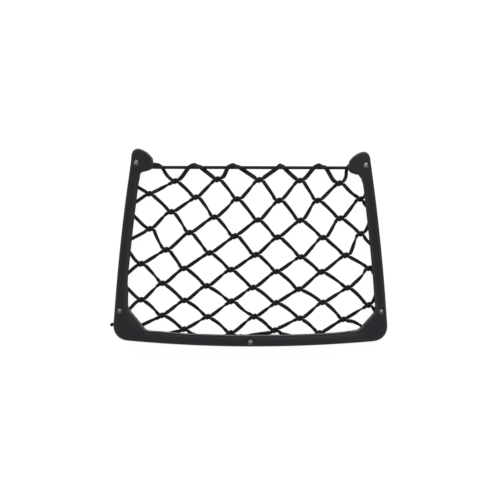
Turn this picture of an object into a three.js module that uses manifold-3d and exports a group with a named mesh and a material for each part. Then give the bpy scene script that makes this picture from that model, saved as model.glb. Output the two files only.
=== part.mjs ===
// Car mesh pocket: a moulded U-shaped frame in which a knotted elastic net is stretched on a round
// elastic cord. Five screws hold the frame to a panel.
//
// Millimetres. The pocket lies on its back: +Z points out of its front, +X along its width, and +Y
// toward its open top. The origin is under the middle of its outline, on the plane that it lies on.

import * as THREE from 'three';
import { mergeVertices } from 'three/addons/utils/BufferGeometryUtils.js';
import Module from 'manifold-3d';

const wasm = await Module();
wasm.setup();

// Driving dimensions of the frame
const HEIGHT = 278; // bottom bar's lowest edge to the tips of the ears
const SIDE_TOP = { x: 167.5, y: 128 }; // upper end of a side bar's outer edge
const SIDE_LOW = { x: 192.5, y: -110.5 }; // its lower end, where the corner's round begins
const SIDE_BOW = 2.6; // how far a side bar bows outward between them
const CORNER_RADIUS = 20.5;
const BOTTOM_BOW = 7.5; // how far the bottom bar's middle hangs below its ends
const BOTTOM_HALF = 169;
const SIDE_BAR = 15.8;
const BOTTOM_BAR = 16.6;
const DEPTH = 13;
const WALL = 2.2;
const FRONT_WALL = 2;
const EDGE_ROUND = 3;
const LIP_BACK = 10.5; // the inner walls end here, so that the cord and the net pass behind them
// The right ear sits lower than the left one, and each lower gusset has an inner edge of its own: x and y
// of its points from the side bar down to the bottom bar, drawn at the right
const HALVES = {
  left: {
    earDrop: 0,
    gusset: [
      [171.5, -62], [171.2, -83.2], [170.2, -85.6], [159.6, -98.9], [149.2, -111.6], [146.6, -114.3], [143, -116],
      [125, -117.5],
    ],
  },
  right: {
    earDrop: 3.6,
    gusset: [
      [173.4, -66], [174.8, -85], [173.8, -88.6], [163.2, -101.2], [152.2, -112.8], [148.8, -114.6],
      [144, -115.4], [125, -118],
    ],
  },
};

// Screws, and the bosses that take them
const BOSS_RADIUS = 4.8;
const DISH_RADIUS = 5.3; // wide end of the dish in the front face
const DISH_DEPTH = 1.4;
const HEAD_HEIGHT = 2;
const SEAT_Z = 9.6;
const SHANK_RADIUS = 1.9;
const SHANK_END = 1.5;
const SLOT = { length: 3.6, width: 0.9, depth: 1.1 };
const GAP = 0.3; // clearance between pieces that touch on the real pocket

// Elastic: the round cord round the edge, and the flat strands of the net
const CORD_RADIUS = 1.8;
const CORD_Z = 5.2;
const CORD_INSET = 7.6; // outer edge of a side bar to the cord behind it
const STRAND = { width: 4, thick: 2.2 };
const KNOT = { x: 5.6, y: 3.6, z: 3.2 }; // half sizes
const WRAP = CORD_RADIUS + GAP + 0.28 + STRAND.thick / 2; // the cord's axis to a strand before or behind it
const BULGE = 0.15; // how much further out it is as it goes round

// The two at the sides have smaller heads
const SCREWS = [
  { name: 'screw_ear_left', x: -161, y: 120, head: 3.2 },
  { name: 'screw_ear_right', x: 161.5, y: 117.3, head: 3.2 },
  { name: 'screw_side_left', x: -183.7, y: -88, head: 2.6 },
  { name: 'screw_side_right', x: 183.7, y: -88, head: 2.6 },
  { name: 'screw_bottom', x: 0, y: -131.6, head: 3.2 },
];

// Rows of knots from the top down. Each runs from left to right, with the middle moved sideways by
// drift and down by sag, and the quarters moved apart by wave.
const KNOT_ROWS = [
  { count: 5, left: -108, right: 124.5, drift: 3.2, wave: 0, yLeft: 95.4, yRight: 91.2, sag: -0.7 },
  { count: 6, left: -143.4, right: 152.7, drift: 5.5, wave: 3, yLeft: 75.7, yRight: 68.6, sag: 5.1 },
  { count: 5, left: -112.4, right: 125.9, drift: 3, wave: -1, yLeft: 50.3, yRight: 41.8, sag: 7 },
  { count: 6, left: -142.7, right: 155.5, drift: 2.2, wave: -5.3, yLeft: 26.3, yRight: 20, sag: 8.5 },
  { count: 5, left: -119.4, right: 133.7, drift: -0.5, wave: -1.6, yLeft: -3.3, yRight: -10.4, sag: 3.2 },
  { count: 6, left: -154.7, right: 166.8, drift: -2, wave: 0, yLeft: -23, yRight: -28.7, sag: 6 },
  { count: 5, left: -124.4, right: 136.5, drift: -2.8, wave: -1, yLeft: -50.5, yRight: -56.2, sag: 2.8 },
  { count: 6, left: -154.7, right: 166.8, drift: -2.5, wave: -1.4, yLeft: -73.8, yRight: -80.2, sag: -0.8 },
  { count: 5, left: -125.1, right: 130.8, drift: 1.8, wave: -1, yLeft: -95.7, yRight: -99.2, sag: 1.3 },
  { count: 6, left: -164.6, right: 166.8, drift: 1.7, wave: 3.4, yLeft: -114.7, yRight: -115.4, sag: 2 },
];

// Knots that are pulled out of their row
const PULLED = [
  { row: 0, knot: 0, x: 0.8, y: -1.6 },
  { row: 0, knot: 1, x: 0, y: 1.4 },
  { row: 0, knot: 2, x: 0, y: 1.6 },
  { row: 0, knot: 3, x: 0, y: 2 },
  { row: 1, knot: 2, x: -1.6, y: 0.5 },
  { row: 1, knot: 3, x: 1.8, y: 0 },
  { row: 3, knot: 1, x: 0, y: 1.4 },
  { row: 3, knot: 2, x: 1.6, y: 0.6 },
  { row: 3, knot: 3, x: -3.8, y: 0.5 },
  { row: 3, knot: 4, x: -0.6, y: -1.4 },
  { row: 4, knot: 3, x: -1.2, y: -1.8 },
  { row: 5, knot: 1, x: -2.4, y: -1.4 },
  { row: 5, knot: 3, x: 0, y: -1.4 },
  { row: 5, knot: 4, x: -1.2, y: -2.4 },
  { row: 6, knot: 3, x: -2.2, y: -1.4 },
  { row: 7, knot: 2, x: 1.8, y: 0 },
  { row: 7, knot: 3, x: -1, y: -0.7 },
  { row: 7, knot: 4, x: -0.6, y: 1.6 },
  { row: 8, knot: 2, x: 0.6, y: 1.6 },
  { row: 8, knot: 4, x: 0, y: -1.4 },
  { row: 9, knot: 1, x: 0, y: 2.4 },
  { row: 9, knot: 2, x: 0, y: -1.2 },
  { row: 9, knot: 3, x: 0, y: 1.6 },
  { row: 9, knot: 4, x: -1.4, y: -1.2 },
];

// Where the net's edge loops hold the cord: over the open top, along the bottom, down both sides, and in
// the lower corners. At each ear a strand crosses the top cord and runs inside to a loop lower down.
const TOP_LOOPS = [-78.5, -23.5, 42.7, 97.7];
const BOTTOM_LOOPS = [-129, -63, -16, 71, 124];
const SIDE_LOOPS = [
  { left: 54, right: 48 },
  { left: 4, right: -5 },
  { left: -47, right: -51 },
];
const CORNER_LOOP = { x: 178.2, y: -98.5 };
const EAR_STRANDS = [
  { side: -1, leg: { x: 118, y: 101.5 }, crosses: 124.5, lowerLoop: 93 },
  { side: 1, leg: { x: 134.3, y: 101 }, crosses: 136, lowerLoop: 88 },
];

// Route of the edge cord, from its melted end outside the left wall. The sides between the ears and the
// lower screws are worked out from the side bars.
const CORD_TAIL = [
  { x: -195.1, y: -109.1 },
  { x: -192, y: -108.3 },
  { x: -188.4, y: -108.4 },
  { x: -184, y: -109.6 },
];
const CORD_KNOT = { x: -179, y: -111, half: 3.6 };
const CORD_EAR = [
  { x: 161.8, y: 101 },
  { x: 160.4, y: 106.2 },
  { x: 156.6, y: 110.2 },
  { x: 150.8, y: 112.4 },
  { x: 144, y: 113 },
];
const CORD_TOP = { y: 113, ends: 134 };
const CORD_CORNER = [{ x: 176.6, y: -88 }, { x: 178.2, y: -98.5 }];
const CORD_TURN = [
  { x: 178.8, y: -109 },
  { x: 174.8, y: -118.6 },
  { x: 166, y: -124.2 },
  { x: 155, y: -125.4 },
];
const CORD_BOTTOM = { y: -124.6, ends: 142 };

const plastic = { color: 0x2e2f33, roughness: 0.55, metalness: 0 };
const elastic = { color: 0x17181a, roughness: 0.85, metalness: 0 };
const steel = { color: 0xc9cbce, roughness: 0.25, metalness: 1 };

// ---- helpers ----

function toSolid(geometry) {
  geometry.deleteAttribute('normal');
  geometry.deleteAttribute('uv');
  const merged = mergeVertices(geometry, 1e-4);
  return new wasm.Manifold(
    new wasm.Mesh({
      numProp: 3,
      vertProperties: new Float32Array(merged.attributes.position.array),
      triVerts: new Uint32Array(merged.index.array),
    }),
  );
}

function toGeometry(solid) {
  const mesh = solid.getMesh();
  const geometry = new THREE.BufferGeometry();
  geometry.setAttribute('position', new THREE.BufferAttribute(mesh.vertProperties, 3));
  geometry.setIndex(new THREE.BufferAttribute(mesh.triVerts, 1));
  geometry.computeVertexNormals();
  return geometry;
}

function named(name, geometry, look) {
  const mesh = new THREE.Mesh(geometry, new THREE.MeshStandardMaterial(look));
  mesh.name = name;
  return mesh;
}

function joined(solids) {
  return wasm.Manifold.union(solids);
}

// ---- the frame's outline ----

function sideX(y) {
  const t = (y - SIDE_LOW.y) / (SIDE_TOP.y - SIDE_LOW.y);
  return THREE.MathUtils.lerp(SIDE_LOW.x, SIDE_TOP.x, t) + 4 * SIDE_BOW * t * (1 - t);
}

function bottomY(x) {
  return -HEIGHT / 2 + BOTTOM_BOW * (x / BOTTOM_HALF) ** 2;
}

function along(from, to, steps, point) {
  return Array.from({ length: steps + 1 }, (_, k) => point(THREE.MathUtils.lerp(from, to, k / steps)));
}

function shifted(point, x, y) {
  return new THREE.Vector2(point.x + x, point.y + y);
}

// Inner edge of a half, from the ear's inner end down to the middle of the bottom bar, drawn at the right
function innerEdge({ earDrop, gusset }) {
  const ear = new THREE.SplineCurve([
    new THREE.Vector2(136.4, 118.5),
    new THREE.Vector2(136.9, 113.4),
    new THREE.Vector2(140, 109.4),
    new THREE.Vector2(147, 106.8),
    new THREE.Vector2(152.8, 105.3),
    new THREE.Vector2(155, 102.8),
    new THREE.Vector2(155.5, 98),
  ]).getPoints(8).map((p) => shifted(p, 0, -earDrop));
  const side = along(92, -48, 4, (y) => new THREE.Vector2(sideX(y) - SIDE_BAR, y));
  const cut = gusset.map(([x, y]) => new THREE.Vector2(x, y));
  const bottom = along(98, 0, 4, (x) => new THREE.Vector2(x, bottomY(x) + BOTTOM_BAR));
  return [...ear, ...side, ...cut, ...bottom];
}

// Outer edge of a half, from the middle of the bottom bar up to the ear's inner end, drawn at the right
function outerEdge({ earDrop }) {
  const centre = { x: SIDE_LOW.x - CORNER_RADIUS, y: SIDE_LOW.y };
  const bottom = along(0, centre.x - 4, 6, (x) => new THREE.Vector2(x, bottomY(x)));
  const corner = along(-82, 2, 6, (degrees) => {
    const angle = THREE.MathUtils.degToRad(degrees);
    const reach = new THREE.Vector2(Math.cos(angle), Math.sin(angle)).multiplyScalar(CORNER_RADIUS);
    return reach.add(centre);
  });
  const side = along(-96, 120, 4, (y) => new THREE.Vector2(sideX(y), y));
  const ear = new THREE.SplineCurve([
    new THREE.Vector2(167.4, 131.6),
    new THREE.Vector2(164.4, 137),
    new THREE.Vector2(158.5, HEIGHT / 2),
    new THREE.Vector2(152.6, 137.5),
    new THREE.Vector2(144.6, 132.8),
    new THREE.Vector2(138.4, 126.2),
  ]).getPoints(10).map((p) => shifted(p, 0, -earDrop));
  return [...bottom, ...corner, ...side, ...ear];
}

function mirrored(points) {
  return points.map((p) => new THREE.Vector2(-p.x, p.y)).reverse();
}

function frameShape() {
  const right = [...outerEdge(HALVES.right), ...innerEdge(HALVES.right)];
  const left = [...outerEdge(HALVES.left), ...innerEdge(HALVES.left)];
  return new THREE.Shape([...right, ...mirrored(left).slice(1, -1)]);
}

// The open middle of the pocket, closed by a straight line between the ears, above the top cord
function windowShape() {
  const top = new THREE.Vector2(137.4, CORD_TOP.y + 9);
  const right = [top, ...innerEdge(HALVES.right)];
  const left = [top, ...innerEdge(HALVES.left)];
  return new THREE.Shape([...right, ...mirrored(left).slice(1)].reverse());
}

// ---- solids used in more than one place ----

function boxSolid(low, high) {
  const size = new THREE.Vector3().subVectors(high, low);
  const centre = new THREE.Vector3().addVectors(low, high).multiplyScalar(0.5);
  return toSolid(new THREE.BoxGeometry(size.x, size.y, size.z).translate(centre.x, centre.y, centre.z));
}

// Turned about an upright axis at a place, from a profile of { r, z } that starts and ends on the axis
function turned(profile, place, sides = 24) {
  const points = profile.map(({ r, z }) => new THREE.Vector2(r, z));
  const lathe = new THREE.LatheGeometry(points, sides).rotateX(Math.PI / 2);
  return toSolid(lathe.translate(place.x, place.y, 0));
}

function upright(radius, low, high, place) {
  const profile = [{ r: 0, z: low }, { r: radius, z: low }, { r: radius, z: high }, { r: 0, z: high }];
  return turned(profile, place);
}

// A curve whose steps fall evenly between its points, so that close points give a fine bend
class Route extends THREE.CatmullRomCurve3 {
  getPointAt(t, target) {
    return this.getPoint(t, target);
  }

  getTangentAt(t, target) {
    return this.getTangent(t, target);
  }
}

// A route for a flat strand, which faces the given way at each of the route's points
class RibbonRoute extends Route {
  constructor(points, faces) {
    super(points);
    this.faces = faces;
  }

  faceAt(t) {
    const place = t * (this.faces.length - 1);
    const k = Math.min(Math.floor(place), this.faces.length - 2);
    return this.faces[k].clone().lerp(this.faces[k + 1], place - k);
  }

  computeFrenetFrames(steps) {
    const tangents = along(0, 1, steps, (t) => this.getTangent(t));
    const faces = along(0, 1, steps, (t) => this.faceAt(t));
    const binormals = tangents.map((tangent, k) => tangent.clone().cross(faces[k]).normalize());
    const normals = tangents.map((tangent, k) => binormals[k].clone().cross(tangent));
    return { tangents, normals, binormals };
  }
}

function tube(section, path, steps) {
  return toSolid(new THREE.ExtrudeGeometry(section, { steps, extrudePath: path }));
}

function lump(half, place, around, across) {
  const ball = new THREE.SphereGeometry(1, around, across).rotateZ(Math.PI / 2);
  return toSolid(ball.scale(half.x, half.y, half.z).translate(place.x, place.y, place.z));
}

// ---- the frame ----

function shell() {
  const outer = new THREE.ExtrudeGeometry(frameShape(), {
    depth: DEPTH - EDGE_ROUND,
    bevelEnabled: true,
    bevelThickness: EDGE_ROUND,
    bevelSize: EDGE_ROUND,
    bevelOffset: -EDGE_ROUND,
    bevelSegments: 2,
  });
  const hollow = new THREE.ExtrudeGeometry(frameShape(), {
    depth: DEPTH - FRONT_WALL,
    bevelEnabled: true,
    bevelThickness: 1,
    bevelSize: 1,
    bevelOffset: -WALL - 1,
    bevelSegments: 1,
  }).translate(0, 0, -1);
  const reach = SIDE_LOW.x + CORNER_RADIUS;
  const above = boxSolid(new THREE.Vector3(-reach, -reach, 0), new THREE.Vector3(reach, reach, 2 * DEPTH));
  return toSolid(outer).intersect(above).subtract(toSolid(hollow));
}

// What is taken off the inner walls, behind the lip
function slit() {
  return toSolid(
    new THREE.ExtrudeGeometry(windowShape(), {
      depth: LIP_BACK,
      bevelEnabled: true,
      bevelThickness: 1,
      bevelSize: 0,
      bevelOffset: WALL + 1,
      bevelSegments: 1,
    }).translate(0, 0, -1),
  );
}

function bossHole(place) {
  const headRoom = place.head + GAP + 0.1;
  return turned(
    [
      { r: 0, z: -1 },
      { r: SHANK_RADIUS + GAP, z: -1 },
      { r: SHANK_RADIUS + GAP, z: SEAT_Z },
      { r: headRoom, z: SEAT_Z },
      { r: headRoom, z: DEPTH - DISH_DEPTH },
      { r: DISH_RADIUS, z: DEPTH },
      { r: DISH_RADIUS, z: DEPTH + 1 },
      { r: 0, z: DEPTH + 1 },
    ],
    place,
  );
}

function tailHole() {
  const { x, y } = CORD_TAIL[1];
  const radius = CORD_RADIUS + GAP + 0.3;
  const hole = new THREE.CylinderGeometry(radius, radius, 12, 12).rotateZ(Math.PI / 2);
  return toSolid(hole.translate(x + 2, y, CORD_Z));
}

function frame() {
  const bosses = SCREWS.map((place) => upright(BOSS_RADIUS, 0, DEPTH - 1, place));
  const holes = SCREWS.map(bossHole);
  return joined([shell().subtract(slit()), ...bosses]).subtract(joined([...holes, tailHole()]));
}

// ---- the screws ----

function screw(place) {
  const seat = SEAT_Z + GAP;
  const crown = seat + HEAD_HEIGHT;
  const body = turned(
    [
      { r: 0, z: SHANK_END },
      { r: SHANK_RADIUS * 0.5, z: SHANK_END },
      { r: SHANK_RADIUS, z: SHANK_END + 2 },
      { r: SHANK_RADIUS, z: seat },
      { r: place.head, z: seat },
      { r: place.head, z: seat + HEAD_HEIGHT * 0.45 },
      { r: place.head * 0.84, z: seat + HEAD_HEIGHT * 0.82 },
      { r: place.head * 0.5, z: crown },
      { r: 0, z: crown },
    ],
    place,
    14,
  );
  const half = [SLOT.length / 2, SLOT.width / 2];
  const slots = [half, [...half].reverse()].map(([dx, dy]) =>
    boxSolid(
      new THREE.Vector3(place.x - dx, place.y - dy, crown - SLOT.depth),
      new THREE.Vector3(place.x + dx, place.y + dy, crown + 1),
    ),
  );
  return body.subtract(joined(slots));
}

// ---- the edge cord ----

function cordX(y) {
  return sideX(y) - CORD_INSET;
}

function leftward(places) {
  return places.map(({ x, y }) => ({ x: -x, y }));
}

function cordRoute() {
  const side = along(-68, 90, 5, (y) => ({ x: cordX(y), y }));
  const top = along(-CORD_TOP.ends, CORD_TOP.ends, 3, (x) => ({ x, y: CORD_TOP.y }));
  const bottom = along(CORD_BOTTOM.ends, -CORD_BOTTOM.ends, 6, (x) => ({ x, y: CORD_BOTTOM.y }));
  const up = [...[...CORD_CORNER].reverse(), ...side, ...CORD_EAR];
  const down = [...up].reverse();
  const lastTurn = leftward([...CORD_TURN].reverse().slice(0, -1));
  const round = [...leftward(up), ...top, ...down, ...CORD_TURN, ...bottom, ...lastTurn];
  return [...CORD_TAIL, CORD_KNOT, ...round, CORD_KNOT].map(({ x, y }) => new THREE.Vector3(x, y, CORD_Z));
}

function edgeCord() {
  const route = cordRoute();
  const section = new THREE.Shape(new THREE.Path().absarc(0, 0, CORD_RADIUS, 0, 2 * Math.PI).getPoints(4));
  const cord = tube(section, new Route(route), route.length - 1);
  const { half } = CORD_KNOT;
  const knot = lump({ x: half, y: half, z: half * 0.8 }, route[CORD_TAIL.length], 8, 6);
  const melted = CORD_RADIUS * 1.35;
  const end = lump({ x: melted * 0.8, y: melted, z: melted }, route[0], 8, 6);
  return joined([cord, knot, end]);
}

// ---- the net ----

function knotPlaces() {
  const rows = KNOT_ROWS.map((row) =>
    along(0, 1, row.count - 1, (t) => {
      const middle = 4 * t * (1 - t);
      const x = THREE.MathUtils.lerp(row.left, row.right, t) + row.drift * middle;
      const y = THREE.MathUtils.lerp(row.yLeft, row.yRight, t) - row.sag * middle;
      return new THREE.Vector3(x + row.wave * Math.sin(2 * Math.PI * t), y, CORD_Z);
    }),
  );
  for (const { row, knot, x, y } of PULLED) {
    rows[row][knot].add(new THREE.Vector3(x, y, 0));
  }
  return rows;
}

// Section of a flat strand: its thickness, then its width
function strandSection() {
  const half = new THREE.Vector2(STRAND.thick, STRAND.width).multiplyScalar(0.5);
  return new THREE.Shape([
    new THREE.Vector2(-half.x, -half.y),
    new THREE.Vector2(half.x, -half.y),
    new THREE.Vector2(half.x, half.y),
    new THREE.Vector2(-half.x, half.y),
  ]);
}

// Between two knots a strand leaves each of them flatter than it runs in its middle
function strand(from, to) {
  const run = new THREE.Vector3().subVectors(to, from);
  const pull = new THREE.Vector3(run.x * 0.3, run.y * 0.16, 0);
  const path = new THREE.CubicBezierCurve3(from, from.clone().add(pull), to.clone().sub(pull), to);
  return tube(strandSection(), path, 3);
}

// A strand's way, as a list of points and of the way that its flat side faces at each
function waypoint(point, face) {
  return { point, face };
}

const FRONT = new THREE.Vector3(0, 0, 1);
const BACK = new THREE.Vector3(0, 0, -1);

// A strand's turn round the cord, from in front of it to behind it. at is on the cord's axis, heading is
// the direction in which the strand moves back along the cord, and outward is the side that it goes round.
function turnRound(at, heading, outward, reach) {
  return along(90, -90, 5, (degrees) => {
    const turn = THREE.MathUtils.degToRad(degrees);
    const face = outward.clone().multiplyScalar(Math.cos(turn)).addScaledVector(FRONT, Math.sin(turn));
    const radius = Math.abs(degrees) === 90 ? WRAP : WRAP + BULGE;
    const point = new THREE.Vector3(at.x, at.y, CORD_Z).addScaledVector(face, radius);
    return waypoint(point.addScaledVector(heading, (-reach * degrees) / 90), face);
  });
}

// Half way along a leg, from a knot to a turn, which is where most of its slope lies
function between(knot, turn) {
  const point = knot.point.clone().lerp(turn.point, 0.5);
  point.z = THREE.MathUtils.lerp(knot.point.z, turn.point.z, 0.8);
  return waypoint(point, knot.face);
}

// From knot to knot, with a straight leg at each end of the way
function loopStrand(from, way, to) {
  const ways = [from, between(from, way[0]), ...way, between(to, way[way.length - 1]), to];
  const route = new RibbonRoute(ways.map((w) => w.point), ways.map((w) => w.face));
  return tube(strandSection(), route, ways.length - 1);
}

function loop(from, turn, to) {
  return loopStrand(waypoint(from, FRONT), turn, waypoint(to, BACK));
}

const RIGHT = new THREE.Vector3(1, 0, 0);
const LEFT = new THREE.Vector3(-1, 0, 0);
const UP = new THREE.Vector3(0, 1, 0);
const DOWN = new THREE.Vector3(0, -1, 0);

function topLoops([first]) {
  return TOP_LOOPS.map((x, k) => {
    const turn = turnRound({ x, y: CORD_TOP.y }, RIGHT, UP, 6.5);
    return loop(first[k], turn, first[k + 1]);
  });
}

function bottomLoops(rows) {
  const last = rows[rows.length - 1];
  return BOTTOM_LOOPS.map((x, k) => {
    const turn = turnRound({ x, y: CORD_BOTTOM.y }, LEFT, DOWN, 4);
    return loop(last[k + 1], turn, last[k]);
  });
}

function end(row, side) {
  return side < 0 ? row[0] : row[row.length - 1];
}

// Heading is 1 for a strand that comes from above and -1 for one from below
function sideTurn(side, y, heading) {
  const slope = cordX(y + 1) - cordX(y);
  const way = new THREE.Vector3(-side * slope, -1, 0).multiplyScalar(heading).normalize();
  const outward = new THREE.Vector3(side, -slope, 0).normalize();
  return turnRound({ x: side * cordX(y), y }, way, outward, 4);
}

function leftLoops(rows) {
  const corner = turnRound({ x: -CORNER_LOOP.x, y: CORNER_LOOP.y }, UP, LEFT, 3);
  const turns = [...SIDE_LOOPS.map((row) => sideTurn(-1, row.left, -1)), corner];
  return turns.map((turn, k) => loop(rows[2 * k + 3][0], turn, rows[2 * k + 1][0]));
}

function rightLoops(rows) {
  const corner = turnRound(CORNER_LOOP, DOWN, RIGHT, 3);
  const turns = [...SIDE_LOOPS.map((row) => sideTurn(1, row.right, 1)), corner];
  return turns.map((turn, k) => loop(end(rows[2 * k + 1], 1), turn, end(rows[2 * k + 3], 1)));
}

// The strand that comes up behind the top cord, goes over it into an ear, and comes out of the side bar
function earStrand(rows, { side, leg, crosses, lowerLoop }) {
  const hidden = [
    { x: leg.x, y: leg.y - CORD_TOP.y, z: -2, face: -90 },
    { x: crosses - 1, y: -5, z: -3.2, face: -90 },
    { x: crosses, y: -0.6, z: -3.6, face: -90 },
    { x: crosses + 1.5, y: 3.1, z: -2.8, face: -45 },
    { x: crosses + 4, y: 4.3, z: 0.2, face: 0 },
    { x: crosses + 7, y: 4.2, z: 2, face: 45 },
    { x: 147.5, y: 1.6, z: 3.3, face: 90 },
    { x: 153, y: -1, z: 3.3, face: 90 },
    { x: 158.5, y: -4.6, z: 3.3, face: 90 },
    { x: 161.2, y: -10.5, z: 3.3, face: 90 },
  ].map(({ x, y, z, face }) => {
    const turn = THREE.MathUtils.degToRad(face);
    return waypoint(
      new THREE.Vector3(side * x, CORD_TOP.y + y, CORD_Z + z),
      new THREE.Vector3(0, Math.cos(turn), Math.sin(turn)),
    );
  });
  const way = [...hidden, ...sideTurn(side, lowerLoop, 1)];
  return loopStrand(waypoint(end(rows[0], side), BACK), way, waypoint(end(rows[1], side), BACK));
}

function innerStrands(rows) {
  const strands = [];
  for (let r = 0; r < rows.length; r += 2) {
    const neighbours = [rows[r - 1], rows[r + 1]].filter(Boolean);
    for (const [k, knot] of rows[r].entries()) {
      strands.push(...neighbours.flatMap((row) => [strand(knot, row[k]), strand(knot, row[k + 1])]));
    }
  }
  return strands;
}

function net() {
  const rows = knotPlaces();
  const knots = rows.flat().map((place) => lump(KNOT, place, 5, 3));
  const ears = EAR_STRANDS.map((row) => earStrand(rows, row));
  const loops = [...topLoops(rows), ...bottomLoops(rows), ...leftLoops(rows), ...rightLoops(rows), ...ears];
  return joined([...knots, ...innerStrands(rows), ...loops]);
}

const pocket = new THREE.Group();
pocket.add(named('frame', toGeometry(frame()), plastic));
pocket.add(named('net', toGeometry(net()), elastic));
pocket.add(named('edge_cord', toGeometry(edgeCord()), elastic));
for (const place of SCREWS) {
  pocket.add(named(place.name, toGeometry(screw(place)), steel));
}

export default pocket;
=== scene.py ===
"""Car mesh pocket: the looks of a framed stow net, made over its CAD frame.

Sizes and places here are in millimetres, as in the part's source, with the same axes: X along the pocket's
width, Y toward its open top, Z out of its front. mesh_object turns them into metres.
"""

import math
import random

import bmesh
import bpy
from mathutils import Matrix, Vector
from mathutils.geometry import delaunay_2d_cdt, intersect_point_line
from mathutils.kdtree import KDTree


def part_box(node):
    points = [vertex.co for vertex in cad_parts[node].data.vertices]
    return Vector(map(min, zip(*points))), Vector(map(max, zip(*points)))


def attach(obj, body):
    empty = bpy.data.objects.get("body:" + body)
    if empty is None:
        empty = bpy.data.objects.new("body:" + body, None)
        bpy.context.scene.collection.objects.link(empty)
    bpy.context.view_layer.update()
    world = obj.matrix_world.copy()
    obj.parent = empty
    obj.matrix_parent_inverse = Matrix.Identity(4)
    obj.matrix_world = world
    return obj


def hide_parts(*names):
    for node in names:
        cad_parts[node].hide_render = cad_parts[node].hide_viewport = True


MM = 0.001
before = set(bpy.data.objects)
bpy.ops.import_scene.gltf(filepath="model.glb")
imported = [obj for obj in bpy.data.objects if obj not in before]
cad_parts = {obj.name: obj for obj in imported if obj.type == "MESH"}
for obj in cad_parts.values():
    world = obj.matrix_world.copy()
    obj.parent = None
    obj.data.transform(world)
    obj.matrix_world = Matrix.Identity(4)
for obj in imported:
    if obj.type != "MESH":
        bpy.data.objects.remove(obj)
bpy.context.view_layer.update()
chance = random.Random(11)


def node_box(name):
    low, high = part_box(name)
    return Vector(low) / MM, Vector(high) / MM


# ---- sizes that follow the CAD nodes ----

FRAME_LOW, FRAME_HIGH = node_box("frame")
HALF_WIDTH = (FRAME_HIGH.x - FRAME_LOW.x) / 2
HEIGHT = FRAME_HIGH.y - FRAME_LOW.y
DEPTH = FRAME_HIGH.z
CORD_LOW, CORD_HIGH = node_box("edge_cord")
CORD_Z = (CORD_LOW.z + CORD_HIGH.z) / 2
CORD_RADIUS = 2.25
CORD_SOLID_ABOVE = 1.9  # of the cord's solid over the axis of its stretch across the open top
CORD_TOP_Y = CORD_HIGH.y - CORD_SOLID_ABOVE
# Each screw's node, the radius of its head, and the degrees by which its cross is turned
SCREWS = [
    {"node": "screw_ear_left", "head": 3.2, "turn": 20},
    {"node": "screw_ear_right", "head": 3.2, "turn": 65},
    {"node": "screw_side_left", "head": 2.6, "turn": 35},
    {"node": "screw_side_right", "head": 2.6, "turn": 80},
    {"node": "screw_bottom", "head": 3.2, "turn": 10},
]

# ---- the moulded frame ----

SIDE_TOP = Vector((167.5, 128))
SIDE_LOW = Vector((HALF_WIDTH, -110.5))
SIDE_BOW = 2.6
CORNER_RADIUS = 20.5
BOTTOM_BOW = 7.5
BOTTOM_HALF = 169
SIDE_BAR = 15.8
BOTTOM_BAR = 16.6
WALL = 2.2
FRONT_WALL = 2
LIP_BACK = 10.5
# Points of an ear's edge up from the side bar to its inner end, and on from there down to the side bar
EAR_OUTSIDE = [
    (167.4, 131.6), (164.4, 137), (158.5, HEIGHT / 2), (152.6, 137.5), (144.6, 132.8), (138.4, 126.2),
]
EAR_INSIDE = [
    (136.4, 118.5), (136.9, 113.4), (140, 109.4), (147, 106.8), (152.8, 105.3), (155, 102.8), (155.5, 98),
]
# The right ear sits lower than the left one, and each lower gusset has an inner edge of its own
HALVES = {
    "left": {
        "ear_drop": 0,
        "gusset": [
            (171.5, -62), (171.2, -83.2), (170.2, -85.6), (159.6, -98.9),
            (149.2, -111.6), (146.6, -114.3), (143, -116), (125, -117.5),
        ],
    },
    "right": {
        "ear_drop": 3.6,
        "gusset": [
            (173.4, -66), (174.8, -85), (173.8, -88.6), (163.2, -101.2),
            (152.2, -112.8), (148.8, -114.6), (144, -115.4), (125, -118),
        ],
    },
}
INNER_SIDE_SPAN = (92, -48)  # from the ear down to the gusset
INNER_BOTTOM_FROM = 98
OUTER_SIDE_SPAN = (-96, 120)
CORNER_SPAN = (-82, 2)  # degrees round the outer corner
CORNER_RUN_IN = 4
OUTLINE_STEP = 1.7
OUTER_ROUND = 2.7
ROUND_ANGLES = [18, 36, 54, 72, 90]
INNER_BEVELS = {"bar": 1.4, "gusset": 3.0, "bottom": 1.6}
BEVEL_SLOPE = 0.78
# Where the inner edge changes over, and along what length: round to bevelled below the ears, to the wider
# bevel of the gussets and the bottom bar, and from the bottom bar's to the gussets'
BEVELLED_BELOW_Y, BEVELLED_RUN = 101, 8
WIDER_BELOW_Y, WIDER_RUN = -75, 12
GUSSET_FROM_X, GUSSET_RUN = 138, 10
GROOVE = [(0.6, 0), (1.1, 0.35), (1.7, 0.6), (2.3, 0.35), (2.9, 0)]  # past the bevel: distance, depth
# The slit at an ear's inner end: its low side, how far it goes above the cord, and its reach in X
SLIT_LOW_Y, SLIT_ABOVE_CORD, SLIT_REACH_X = 110, 12.2, 140.6
UNCROWDED = 0.97  # of its distance, that a point keeps from all of the outline
HEAD_CLEARANCE = 0.4
DISH_RADIUS = 5.2
DISH_DEPTH = 1.4
DISH_RINGS = [0.2, 0.4, 0.7, 1, 1.15]  # shares of the way from a screw's recess to the dish's rim
DISH_ROOM = 0.5
PAST_EDGE = 0.4
BOSS_RADIUS = 4.8
SEAT_Z = 9.6
SHANK_HOLE = 2.2
RIM_CHAMFER = 0.3  # of the wall and the bosses
HOLE_CHAMFER = 0.2

FRONT = Vector((0, 0, 1))
FINE_STEPS = 12  # of a curve between two of its points, before it is cut into even steps


def lerp(a, b, t):
    return a + (b - a) * t


def clamped(t):
    return min(1, max(0, t))


def turns(sides):
    return [2 * math.pi * k / sides for k in range(sides)]


def along(start, end, steps, point):
    return [point(lerp(start, end, k / steps)) for k in range(steps + 1)]


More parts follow.
